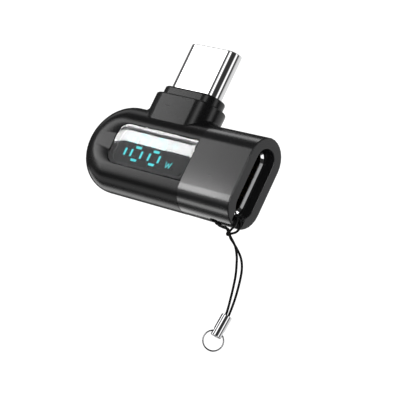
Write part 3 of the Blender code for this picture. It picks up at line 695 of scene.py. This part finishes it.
bar_points, bar_faces, bar_ends = housing_bar()
neck_points, neck_faces = neck_skin()
bar = make_piece("housing", bar_points, bar_faces, caps=bar_ends)
neck = make_piece("neck", neck_points, neck_faces)
both = bmesh.new()
both.from_mesh(bar.data)
both.from_mesh(neck.data)
both.to_mesh(bar.data)
both.free()
bpy.data.objects.remove(neck, do_unlink=True)
bar.data.materials.append(
    moulded("satin_plastic", (0.010, 0.010, 0.0105), (0.019, 0.019, 0.020), 0.23, 0.09, 0.0016)
)
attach(bar, "meter")
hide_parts("display_housing")


# Collar: a loose ring of the same plastic that grips the plug shell and stands out of the neck.
COLLAR_FLAT = 2.82
COLLAR_RADIUS = 2.00
COLLAR_FOOT = -2.6
BORE_FLAT = 2.925
BORE_RADIUS = 1.25


def carried_round(name, axis, middle, run, outer, inner):
    """A closed run (along, out) carried round a stadium.

    A point `out` from the stadium's own middle line goes round it at that radius; the length of
    the straight sides goes evenly from the outer (flat, radius) pair's to the inner pair's.
    """
    share = (outer[1] - run[:, 1]) / (outer[1] - inner[1])
    flat = outer[0] + (inner[0] - outer[0]) * share
    long, short, _, _ = stadium(flat, run[:, 1])
    along = np.broadcast_to(run[:, 0], long.shape)
    if axis == "Z":
        grid = np.stack([middle + long, short, along], -1)
    else:
        grid = np.stack([along, short, middle + long], -1)
    return make_piece(name, grid.reshape(-1, 3), grid_faces(grid))


collar_run = eased_run(
    [
        (COLLAR_FOOT, BORE_RADIUS, 0.05),
        (COLLAR_FOOT, COLLAR_RADIUS, 0.05),
        (0.0, COLLAR_RADIUS, 0.30),
        (0.0, BORE_RADIUS, 0.06),
    ],
    6,
)
collar = carried_round(
    "collar", "Z", COLLAR_MIDDLE, collar_run, (COLLAR_FLAT, COLLAR_RADIUS), (BORE_FLAT, BORE_RADIUS)
)
collar.data.materials.append(bar.data.materials[0])
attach(collar, "meter")
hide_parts("plug_collar")


# Sleeve: the right shell, in a smoother, glossier black.  Its end wall holds the socket; below it
# a tunnel runs over a small bar to a slot in the underside, for the strap.
OPENING_FLAT = 2.98
OPENING_RADIUS = 1.70
SOCKET_RIM = BODY_RIGHT - 1.45
SOCKET_BACK = SOCKET_RIM - 6.6
TUNNEL_TOP = BODY_Z - 3.87
TUNNEL_FLOOR = -14.72
TUNNEL_HALF = 1.15
BAR_SLOPE = 0.3
SLOT = (11.9, 13.3)
SLOT_HALF = 0.85
SLOT_CORNER = 0.35
BELOW_BODY = -17.0
SOCKET_WEB = 0.6
SLEEVE_END = BODY_RIGHT + 0.07
SLEEVE_FLARE = EDGE + 0.09


def prism(name, outline, axis, low, high):
    """A flat outline carried straight from low to high along an axis, for cutting."""
    outline = np.array(outline)
    order = {"Y": (0, 2, 1), "Z": (0, 1, 2)}[axis]
    ends = [np.insert(outline, 2, level, axis=1)[:, np.argsort(order)] for level in (low, high)]
    count = len(outline)
    first = np.arange(count)
    sides = np.stack([first, (first + 1) % count, (first + 1) % count + count, first + count], 1)
    caps = [range(count - 1, -1, -1), range(count, 2 * count)]
    return make_piece(name, np.vstack(ends), sides, eased=0, caps=caps)


seam_x = SEAM + SEAM_GAP / 2
sleeve_run = eased_run(
    [
        (seam_x, EDGE, 0.0),
        (SLEEVE_END, SLEEVE_FLARE, 0.16),
        (SLEEVE_END, OPENING_RADIUS, 0.10),
        (SOCKET_BACK + SOCKET_WEB, OPENING_RADIUS, 0.0),
        (SOCKET_BACK + SOCKET_WEB, EDGE - WALL, 0.0),
        (seam_x, EDGE - WALL, 0.0),
    ],
    6,
)
sleeve = carried_round(
    "sleeve", "X", BODY_Z, sleeve_run, (FLAT, EDGE), (OPENING_FLAT, OPENING_RADIUS)
)
tunnel_outline = eased_run(
    [
        (SLOT[0], TUNNEL_FLOOR, 0.0),
        (BODY_RIGHT - BAR_SLOPE, TUNNEL_FLOOR, 0.3),
        (BODY_RIGHT + 1, TUNNEL_FLOOR - BAR_SLOPE - 1, 0.0),
        (BODY_RIGHT + 1, TUNNEL_TOP, 0.0),
        (SLOT[0], TUNNEL_TOP, 0.0),
    ]
)
slot_corners = [(SLOT[0], -SLOT_HALF), (SLOT[1], -SLOT_HALF), (SLOT[1], SLOT_HALF), (SLOT[0], SLOT_HALF)]
slot_outline = eased_run([(*corner, SLOT_CORNER) for corner in slot_corners])
cut_away(
    sleeve,
    prism("slot_cut", slot_outline, "Z", BELOW_BODY, TUNNEL_FLOOR + 0.3),
    prism("tunnel_cut", tunnel_outline, "Y", -TUNNEL_HALF, TUNNEL_HALF),
)
sleeve.data.materials.append(
    moulded("smooth_plastic", (0.008, 0.008, 0.0085), (0.014, 0.014, 0.015), 0.21, 0.16, 0.0009)
)
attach(sleeve, "meter")
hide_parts("socket_sleeve")


# Plug: a drawn steel shell with a rolled rim, bright plated.  Inside it are the moulded insulator
# with its mouth, twelve gilt contacts a side, two steel latches and the earth plate.
PLUG_FLAT = 2.925
PLUG_RADIUS = 1.2
PLUG_WALL = 0.16
PLUG_TIP = 6.65
PLUG_TAIL = -2.4

plug_run = eased_run(
    [
        (PLUG_TAIL, PLUG_RADIUS, 0.02),
        (PLUG_TIP, PLUG_RADIUS, 0.15),
        (PLUG_TIP, PLUG_RADIUS - PLUG_WALL, 0.04),
        (PLUG_TAIL, PLUG_RADIUS - PLUG_WALL, 0.02),
    ],
    6,
)
plug_shell = carried_round(
    "plug_tube", "Z", 0, plug_run, (PLUG_FLAT, PLUG_RADIUS), (PLUG_FLAT, PLUG_RADIUS - PLUG_WALL)
)
plug_shell.data.materials.append(plated("plug_plate", (0.88, 0.88, 0.885), 0.045, (1, 1, 0.08)))
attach(plug_shell, "meter")
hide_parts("plug_shell")


def dress(finish, *nodes):
    """Give CAD nodes that are kept as they are a finish in each of their material slots."""
    for node in nodes:
        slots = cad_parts[node].data.materials
        if not len(slots):
            slots.append(finish)
        for index in range(len(slots)):
            slots[index] = finish


def gilt():
    """Gold flash over copper, rubbed paler along the pins."""
    gold = Finish("gilt", {"Metallic": 1.0})
    rubbed = gold.noise(0.12, gold.stretched(1, 1, 0.2))
    colour = gold.tint(rubbed, (0.78, 0.52, 0.18), (0.93, 0.72, 0.36))
    return gold.covered(colour, rubbed * 0.15 + 0.15, rubbed, 0.001)


gold_finish = gilt()
steel_finish = plated("stamped_steel", (0.60, 0.60, 0.60), 0.28, (0.2, 1, 1))
insulator_finish = moulded("glass_filled", (0.012, 0.012, 0.012), (0.03, 0.03, 0.03), 0.5, 0.05, 0.003)
dress(insulator_finish, "plug_insulator", "socket_tongue")
for side in ("front", "back"):
    dress(gold_finish, f"plug_contacts_{side}", f"socket_contacts_{side}")
dress(steel_finish, "plug_earth_plate", "plug_latch_left", "plug_latch_right", "socket_mid_plate")


# Socket: its drawn shell, round the tongue, has a mouth that widens to a rim set back in the
# sleeve's opening.
SOCKET_FLAT = 2.89
SOCKET_RADIUS = 1.58
SOCKET_WALL = 0.30
SOCKET_LEAD = 0.36

socket_run = eased_run(
    [
        (SOCKET_BACK, SOCKET_RADIUS, 0.03),
        (SOCKET_RIM, SOCKET_RADIUS, 0.06),
        (SOCKET_RIM, SOCKET_RADIUS - 0.04, 0.02),
        (SOCKET_RIM - SOCKET_LEAD, SOCKET_RADIUS - SOCKET_WALL, 0.06),
        (SOCKET_BACK, SOCKET_RADIUS - SOCKET_WALL, 0.03),
    ],
    6,
)
socket_shell = carried_round(
    "socket_tube",
    "X",
    BODY_Z,
    socket_run,
    (SOCKET_FLAT, SOCKET_RADIUS),
    (SOCKET_FLAT, SOCKET_RADIUS - SOCKET_WALL),
)
socket_shell.data.materials.append(plated("socket_plate", (0.80, 0.80, 0.81), 0.10, (0.08, 1, 1)))
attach(socket_shell, "meter")
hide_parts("socket_shell")


# Display: a smoked window flush with the front, held by a tape frame on its ledge.  Behind it a
# black film lets the light guide's raised bars through; white wells keep each light in its bar.
LENS_THICK = 0.5
LENS_GAP = 0.05
LENS_EASE = 0.04
GUIDE_FACE = LEDGE_Y + 0.005
GUIDE_FOOT = LEDGE_Y + 0.33
GUIDE_BACK = LEDGE_Y + 0.58
PATCH_GAP = 0.03
FIGURES = (-2.30, 0.92)
ONE_X = -4.30
FIGURE_HALF = 0.90
HOLE_LONG = 1.05
HOLE_WIDE = 0.36
UPRIGHT = (1.0, 0.34)
LEVEL = (1.0, 0.33)
ROWS = {"top": 1.77, "upper": 0.93, "middle": -0.03, "lower": -0.92, "bottom": -1.82}
SEEN_SHIFT = (-0.47, 0.13)
CURRENT_ICON = (3.43, 1.25)
WATT_ICON = (3.73, -1.32)
ICON_SIZE = (1.05, 0.84)
STROKE = 0.08
RULE_RISE = 0.16
DASH_STEP = 0.39
DASH_HALF = 0.13
WATT_TOP = 0.48
WATT_FOOT = 0.25
CORNER_CUT = 0.08


def stacked(name, rings):
    """Closed rings of points stacked one on the other, with a flat face over each end."""
    grid = np.stack(rings)
    count = grid.shape[1]
    last = (len(grid) - 1) * count
    caps = [range(count - 1, -1, -1), range(last, last + count)]
    return make_piece(name, grid.reshape(-1, 3), grid_faces(grid, False), caps=caps)


def lens_ring(inset, y):
    """The lens's outline at a depth, drawn in by an inset."""
    rim = window_rim(LENS_GAP + inset, SEAM - LENS_GAP - inset)
    return np.insert(rim, 1, y, axis=1)


def smoked_pane():
    """Smoked clear plastic, hard coated: clear enough for lit bars, with faint wiping marks."""
    pane = Finish(
        "smoked_pane",
        {
            "Base Color": (0.45, 0.46, 0.48, 1.0),
            "Transmission Weight": 1.0,
            "IOR": 1.2,
        },
    )
    wiped = pane.noise(1.6, pane.stretched(0.3, 1, 1))
    pane.feed(pane.shader, {"Roughness": wiped * 0.02 + 0.01})
    pane.relief(pane.noise(6.0, detail=0.0), 0.0002)
    return pane.material


front = -EDGE
lens = stacked(
    "lens",
    [
        lens_ring(LENS_EASE, front),
        lens_ring(LENS_EASE * 0.3, front + LENS_EASE * 0.3),
        lens_ring(0, front + LENS_EASE),
        lens_ring(0, front + LENS_THICK),
    ],
)
lens.data.materials.append(smoked_pane())
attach(lens, "meter")
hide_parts("display_lens")


def figure_bars(upright, level):
    """(from x, from z, to x, to z, width) of the bars of the figures, each of a (length, width)."""
    bars = []
    eights = [(x, ("top", "middle", "bottom"), (-1, 1)) for x in FIGURES]
    for x, rows, sides in ((ONE_X, (), (0,)), *eights):
        for row in rows:
            bars.append((x - level[0] / 2, ROWS[row], x + level[0] / 2, ROWS[row], level[1]))
        for row in ("upper", "lower"):
            for side in sides:
                at = x + side * FIGURE_HALF
                bars.append((at, ROWS[row] - upright[0] / 2, at, ROWS[row] + upright[0] / 2, upright[1]))
    return bars


def icon_strokes():
    """The same for the strokes of the two icons: a bar over three dashes, and the sign for watts."""
    x, z = CURRENT_ICON
    wide = ICON_SIZE[0] / 2
    strokes = [(x - wide, z + RULE_RISE, x + wide, z + RULE_RISE, STROKE)]
    for dash in (x - DASH_STEP, x, x + DASH_STEP):
        strokes.append((dash - DASH_HALF, z - RULE_RISE, dash + DASH_HALF, z - RULE_RISE, STROKE))
    x, z = WATT_ICON
    tall = ICON_SIZE[1] / 2
    left = [(-WATT_TOP, tall), (-WATT_FOOT, -tall)]
    corners = [*left, (0.0, tall * 0.6), (WATT_FOOT, -tall), (WATT_TOP, tall)]
    for (x0, z0), (x1, z1) in zip(corners, corners[1:]):
        strokes.append((x + x0, z + z0, x + x1, z + z1, STROKE))
    return strokes


def raised_strokes(strokes, foot, face):
    """One block a stroke: an eight-sided outline, long side along the stroke, whose corners are cut
    by a little of its width, standing from foot to face with a slightly smaller face."""
    start, end, width = strokes[:, None, 0:2], strokes[:, None, 2:4], strokes[:, None, 4:5]
    along = (end - start) / np.linalg.norm(end - start, axis=2, keepdims=True)
    side = along[..., ::-1] * (-1, 1)
    cut, rest = CORNER_CUT, 1 - CORNER_CUT
    upper = [(0, 0.5 - cut), (cut, 0.5), (rest, 0.5), (1, 0.5 - cut)]
    shape = np.array(upper + [(x, -z) for x, z in upper[::-1]])
    far = np.round(shape[:, 0])[None, :, None]
    near_end = start + far * (end - start)
    inward = np.where(far == 0, shape[None, :, :1], shape[None, :, :1] - 1) * width
    levels = []
    for level, size in ((foot, 1.0), (face + 0.015, 1.0), (face, 0.92)):
        flat = near_end + along * (inward + np.where(far == 0, 1 - size, size - 1) * width / 2)
        flat = flat + side * shape[None, :, 1:] * width * size
        levels.append(np.stack([flat[..., 0], np.full(flat.shape[:2], level), BODY_Z + flat[..., 1]], -1))
    grid = np.stack(levels, 1)
    block = np.arange(len(strokes))[:, None, None] * 24
    rows, columns = grid_cells(3, 8, False, True)
    sides = (block + (rows * 8 + columns % 8)[None]).reshape(-1, 4)
    face_cap = (np.arange(len(strokes)) * 24)[:, None] + np.arange(16, 24)
    foot_cap = (np.arange(len(strokes)) * 24)[:, None] + np.arange(7, -1, -1)
    return grid.reshape(-1, 3), sides, [*face_cap.tolist(), *foot_cap.tolist()]


def lit_guide():
    """Milky light guide, lit cyan from behind, a little brighter where its light sits."""
    guide = Finish("lit_guide", {"Roughness": 0.5, "Emission Strength": 1.7})
    glow = guide.noise(0.9)
    guide.feed(
        guide.shader,
        {
            "Base Color": guide.tint(glow, (0.10, 0.55, 0.55), (0.16, 0.70, 0.70)),
            "Emission Color": guide.tint(glow, (0.03, 0.72, 0.74), (0.10, 1.0, 0.98)),
        },
    )
    guide.relief(guide.noise(0.08), 0.002)
    return guide.material


strokes = np.array(figure_bars(UPRIGHT, LEVEL) + icon_strokes())
strokes[:, :4] += SEEN_SHIFT * 2
stroke_points, stroke_faces, stroke_caps = raised_strokes(strokes, GUIDE_FOOT + 0.02, GUIDE_FACE)
figures = make_piece("figures", stroke_points, stroke_faces, caps=stroke_caps)
figures.data.materials.append(lit_guide())
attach(figures, "meter")

guide_low, guide_high = (np.array(corner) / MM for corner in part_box("display_diffuser"))


def guide_outline(y, inset):
    """A rectangle with eased corners, drawn in by an inset."""
    corners = [
        (guide_low[0] + inset, guide_low[2] + inset, 1.0),
        (guide_high[0] - inset, guide_low[2] + inset, 1.0),
        (guide_high[0] - inset, guide_high[2] - inset, 1.0),
        (guide_low[0] + inset, guide_high[2] - inset, 1.0),
    ]
    return np.insert(eased_run(corners), 1, y, axis=1)


def milky(name, dark, light):
    """Milky moulding: soft clouding and a fine satin surface."""
    milk = Finish(name, {"Specular IOR Level": 0.4})
    cloud = milk.noise(0.8)
    return milk.covered(milk.tint(cloud, dark, light), cloud * 0.1 + 0.45, milk.noise(0.06), 0.002)


guide_plate = stacked("guide_plate", [guide_outline(GUIDE_FOOT, 0.0), guide_outline(GUIDE_BACK, 0.0)])
guide_plate.data.materials.append(milky("milky_guide", (0.30, 0.42, 0.42), (0.40, 0.52, 0.52)))
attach(guide_plate, "meter")
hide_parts("display_diffuser")
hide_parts("display_diffuser")

film_finish = moulded("black_film", (0.004, 0.004, 0.004), (0.008, 0.008, 0.008), 0.6, 0.05, 0.001, 0.2)
hole_blocks = figure_bars((HOLE_LONG, HOLE_WIDE), (HOLE_LONG, HOLE_WIDE))
for x, z in (CURRENT_ICON, WATT_ICON):
    hole_blocks.append((x - ICON_SIZE[0] / 2, z, x + ICON_SIZE[0] / 2, z, ICON_SIZE[1]))
patch_points, patch_faces, patch_caps = raised_strokes(
    np.array(hole_blocks), GUIDE_FOOT - PATCH_GAP, LEDGE_Y + PATCH_GAP
)
patches = make_piece("film_inlay", patch_points, patch_faces, caps=patch_caps)
patches.data.materials.append(film_finish)
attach(patches, "meter")

dress(film_finish, "display_mask")
tape_finish = moulded("foam_tape", (0.05, 0.05, 0.05), (0.10, 0.10, 0.10), 0.85, 0.04, 0.01, 0.2)
dress(tape_finish, "lens_adhesive")
dress(milky("white_wells", (0.72, 0.72, 0.70), (0.86, 0.86, 0.84)), "light_wells")
lights = [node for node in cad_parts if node.startswith("led_")]
dress(milky("led_resin", (0.80, 0.78, 0.60), (0.93, 0.92, 0.84)), *lights)


# Main board: green laminate with the metering chip, shunt, regulator and its coil, two
# capacitors and a crystal can soldered on its back.
CLOTH_PITCH = 0.25


def laminate():
    """Green solder mask over glass cloth, which prints a fine weave through it."""
    board = Finish("laminate", {"Coat Weight": 0.3})
    x, _, z = board.parts(board.place())
    thread = 2 * math.pi / (CLOTH_PITCH * MM)
    weave = (x * thread).sine() * (z * thread).sine() * 0.5 + 0.5
    cloud = board.noise(1.5)
    colour = board.tint(weave * 0.4 + cloud * 0.6, (0.010, 0.09, 0.035), (0.022, 0.15, 0.06))
    return board.covered(colour, weave * 0.12 + 0.32, weave, 0.004)


dress(laminate(), "main_board")
dress(
    moulded("epoxy_package", (0.014, 0.014, 0.015), (0.032, 0.032, 0.034), 0.5, 0.04, 0.004),
    "meter_chip",
    "regulator_chip",
    "regulator_inductor",
)
ceramic_finish = moulded("fired_ceramic", (0.42, 0.30, 0.18), (0.60, 0.46, 0.31), 0.4, 0.05, 0.002)
dress(ceramic_finish, "input_capacitor", "output_capacitor")
dress(plated("shunt_strip", (0.60, 0.52, 0.42), 0.35, (0.15, 1, 1)), "shunt_resistor")
dress(plated("crystal_can", (0.72, 0.72, 0.73), 0.22, (0.3, 1, 1)), "timing_crystal")


# Studio: tall soft cards stand round the meter and long strips of light lie over and under it,
# with dark gaps between.  They are painted on the surroundings by direction.  Lamps that light
# only some pieces stand for the smaller cards.
CARDS = [
    (-180, 0.78), (-141, 0.74), (-138, 0.02), (-86, 0.02), (-72, 0.10), (-62, 0.12), (-53, 0.20),
    (-51, 3.2), (-43.4, 3.2), (-42.4, 0.3), (-39, 0.03), (-24, 0.02), (-16, 0.20), (-9, 0.8),
    (-3, 1.9), (6, 1.9), (12, 0.6), (18, 0.08), (26, 0.01), (62, 0.01), (70, 0.06), (74, 0.5),
    (80, 1.4), (90, 1.4), (96, 0.5), (102, 0.04), (117, 0.03), (125, 0.45), (137, 0.72),
    (150, 0.78), (180, 0.78),
]
CARDS_MOST = 4.0
STRIPS = [
    (-180, 0.02), (-104, 0.03), (-98, 0.5), (-76, 0.6), (-70, 0.05), (55, 0.03), (65, 0.6),
    (81, 0.6), (90, 0.05), (108, 0.05), (118, 1.6), (140, 1.6), (150, 0.05), (180, 0.02),
]
STRIPS_MOST = 4.0
FILL = 0.03
SIDE = (0.64, 0.68)
FRONT_CARDS = ((-30.0, -2.0), (24.0, 18.0))
SIDE_CARDS = ((-50.0, -44.0), (64.0, 58.0))
STRIP_ENDS = ((-0.98, -0.93), (-0.30, -0.38))


def ramp(finish, where, stops, most):
    """A curve through (degrees, light) stops over a whole turn."""
    marks = [((degrees + 180) / 360, light / most) for degrees, light in stops]
    return finish.node("ShaderNodeValToRGB", {"stops": marks}, {0: where}) * most


def surroundings():
    """Light by direction: cards by the angle round the upright axis, between two heights, and
    strips by the angle round the body's long axis, on the side that the body's edges look to."""
    world = bpy.data.worlds.new("studio")
    bpy.context.scene.world = world
    around = Finish("studio", {"Strength": 1.0}, world, "Background")
    x, y, z = around.parts(around.node("ShaderNodeTexCoord", {}, {}, 0))
    turn = 2 * math.pi
    azimuth = x.maths("ARCTAN2", x, -y) / turn + 0.5
    below = z.maths("ARCTAN2", -z, -y) / turn + 0.5
    height = z.maths("ARCSINE", z) * (360 / turn)
    card = ramp(around, azimuth, CARDS, CARDS_MOST)
    side = azimuth.step(*SIDE)
    low, high = (
        height.step(*front) * (1 - side) + height.step(*beside) * side
        for front, beside in zip(FRONT_CARDS, SIDE_CARDS)
    )
    strip = ramp(around, below, STRIPS, STRIPS_MOST) * x.step(*STRIP_ENDS[0]) * x.step(*STRIP_ENDS[1])
    around.feed(around.shader, {"Color": card * low * high + strip + FILL})


surroundings()


def soft_lamp(name, low, high, y, radiance, *lit):
    """A rectangular lamp in an upright plane, facing the meter, that lights only some pieces."""
    lamp = bpy.data.objects.new(name, bpy.data.lights.new(name, "AREA"))
    wide, tall = (high[0] - low[0]) * MM, (high[1] - low[1]) * MM
    lamp.data.shape = "RECTANGLE"
    lamp.data.size, lamp.data.size_y = wide, tall
    lamp.data.energy = 4 * wide * tall * radiance
    middle = Vector((low[0] + high[0], 2 * y, low[1] + high[1])) * (MM / 2)
    lamp.matrix_world = Matrix.Translation(middle) @ Matrix.Rotation(math.pi / 2, 4, "X")
    bpy.context.scene.collection.objects.link(lamp)
    linked = bpy.data.collections.new(name)
    for piece in lit:
        linked.objects.link(piece)
    lamp.light_linking.receiver_collection = linked
    return lamp


STRIP_FAR = 150.0
STRIP_LEFT = -223.0
STRIP_RIGHT = -43.0


def strip_lamp(name, below, half, radiance, *lit):
    """A long lamp alongside the meter, so far round its long axis below the front, facing it."""
    turn = math.radians(below)
    wide = 2 * STRIP_FAR * math.tan(math.radians(half))
    lamp = soft_lamp(name, (STRIP_LEFT, 0.0), (STRIP_RIGHT, wide), 0.0, radiance, *lit)
    middle = Vector((STRIP_LEFT + STRIP_RIGHT, 0.0, 2 * BODY_Z)) / 2
    middle -= Vector((0.0, math.cos(turn), math.sin(turn))) * STRIP_FAR
    lamp.matrix_world = Matrix.Translation(middle * MM) @ Matrix.Rotation(math.pi / 2 + turn, 4, "X")


def spot_card(name, target, direction, far, half, radiance, *lit):
    """A square lamp so far from a place in a direction, `half` degrees to each side, facing it."""
    side = far * math.tan(math.radians(half))
    lamp = soft_lamp(name, (-side, -side), (side, side), 0.0, radiance, *lit)
    aim = Vector(direction).normalized()
    middle = (Vector(target) + aim * far) * MM
    lamp.matrix_world = Matrix.Translation(middle) @ aim.to_track_quat("Z", "Y").to_matrix().to_4x4()


MOUTH = (15.0, 0.0, BODY_Z)
spot_card("flats_card", (2.0, -EDGE, BODY_Z), (-0.806, -0.58, 0.12), 200, 3.5, 2.6, bar, collar)
spot_card("mouth_card", MOUTH, (0.85, -0.50, 0.0), 70, 16, 5.0, sleeve)
for name, direction, half, radiance in (
    ("rim_card", (0.5, -0.843, 0.191), 12, 0.3),
    ("rim_top_card", (0.23, -0.04, 0.95), 14, 2.0),
    ("rim_low_card", (0.486, -0.26, -0.79), 14, 1.0),
):
    spot_card(name, MOUTH, direction, 60, half, radiance, socket_shell)
for name, below, half, radiance in (("low", 73, 8, 2.4), ("under", 130, 11, 1.2), ("over", -87, 10, 1.3)):
    strip_lamp(f"sleeve_strip_{name}", below, half, radiance, sleeve)


# The window's card, as (x, z) of two corners, stands square before the display.
WINDOW_CARD = (-51.0, 2.0, -31.0, 8.0)
WINDOW_CARD_Y = -44.2
WINDOW_LIGHT = 44.0
CARD_EDGE = (3.10, 3.16)
CARD_SLOT = (5.04, 5.08, 5.63, 5.67)
DROOP_X = -47.86
DROOP = 0.45


def window_card():
    """A pale card for the window to mirror: its lower edge and a dark slot droop at the far end."""
    lamp = soft_lamp("window_card", WINDOW_CARD[:2], WINDOW_CARD[2:], WINDOW_CARD_Y, WINDOW_LIGHT, lens)
    card = Finish("window_card", {"Strength": 1.0}, lamp.data, "Emission")
    u, v, _ = card.parts(card.node("ShaderNodeNewGeometry", {}, {}, 5))
    x = u * (WINDOW_CARD[2] - WINDOW_CARD[0]) + WINDOW_CARD[0]
    z = v * (WINDOW_CARD[3] - WINDOW_CARD[1]) + WINDOW_CARD[1] + (DROOP_X - x).greater(0.0) * DROOP
    slot = z.step(*CARD_SLOT[:2]) * z.step(*CARD_SLOT[:1:-1])
    card.feed(card.shader, {"Color": z.step(*CARD_EDGE) * (1 - slot)})


window_card()
soft_lamp("sleeve_card", (-36.0, -25.8), (-20.0, -3.0), -44.0, 8.0, sleeve)

# Backdrop and floor: plain and pale, seen only by the camera, so that they don't light the meter.
BACKDROP = 2000.0
BACKDROP_LIGHT = 1.15
FLOOR_HALF = 1500
FLOOR_Z = -65.2
FLOOR_LIGHT = 0.93


def paper(name, light):
    """Plain pale paper, lit evenly, with a hardly visible mottle."""
    black = {"Base Color": (0, 0, 0, 1), "Specular IOR Level": 0.0}
    sheet = Finish(name, {**black, "Emission Strength": light})
    mottle = sheet.tint(sheet.noise(40.0), (0.99, 0.99, 0.99), (1.0, 1.0, 1.0))
    sheet.feed(sheet.shader, {"Emission Color": mottle})
    return sheet.material


turn_round, rise = np.meshgrid(np.linspace(0, 2 * math.pi, 49), np.linspace(-math.pi / 2, math.pi / 2, 25))
dome_points = BACKDROP * np.stack(
    [np.cos(rise) * np.cos(turn_round), np.cos(rise) * np.sin(turn_round), np.sin(rise)], -1
)
floor_line = np.linspace(-FLOOR_HALF, FLOOR_HALF, 9)
across_floor, along_floor = np.meshgrid(floor_line, floor_line)
floor_points = np.stack([across_floor, along_floor, np.full_like(across_floor, FLOOR_Z)], -1)
for name, points, light, eased in (
    ("backdrop", dome_points, BACKDROP_LIGHT, EASED),
    ("floor", floor_points, FLOOR_LIGHT, 0),
):
    piece = make_piece(name, points.reshape(-1, 3), grid_faces(points, False, False), eased=eased)
    piece.data.materials.append(paper(f"{name}_paper", light))
    piece.visible_diffuse = piece.visible_glossy = False
    piece.visible_transmission = piece.visible_shadow = False
bpy.context.scene.view_settings.view_transform = "Standard"
